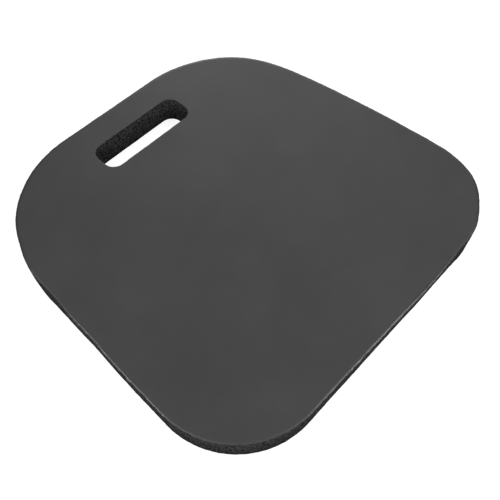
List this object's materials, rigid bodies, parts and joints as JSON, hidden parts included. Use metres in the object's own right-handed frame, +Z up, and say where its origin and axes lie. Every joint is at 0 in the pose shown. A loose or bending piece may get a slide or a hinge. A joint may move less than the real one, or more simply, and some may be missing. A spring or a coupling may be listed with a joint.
{
  "type": "kneeling pad",
  "caption": "Flat foam kneeling pad, a rounded square narrowing towards the hand slot cut through near its back edge, for kneeling on hard or wet ground.",
  "frame": {"origin": "centre of the underside, at the middle of the pad's overall box", "axes": "+Z up through the thickness, +Y towards the hand slot and the narrower back edge, +X across the pad; the YZ plane is the plane of symmetry"},
  "size_m": [0.3334, 0.3166, 0.0254],
  "materials": {
    "top_skin": "matte charcoal foam skin, very fine even grain",
    "foam_core": "matte charcoal closed-cell foam, cut edge with fine open cells",
    "bottom_skin": "matte charcoal foam skin, very fine even grain"
  },
  "bodies": {
    "root": {"top_skin": "top_skin", "foam_core": "foam_core", "bottom_skin": "bottom_skin"}
  },
  "joints": []
}
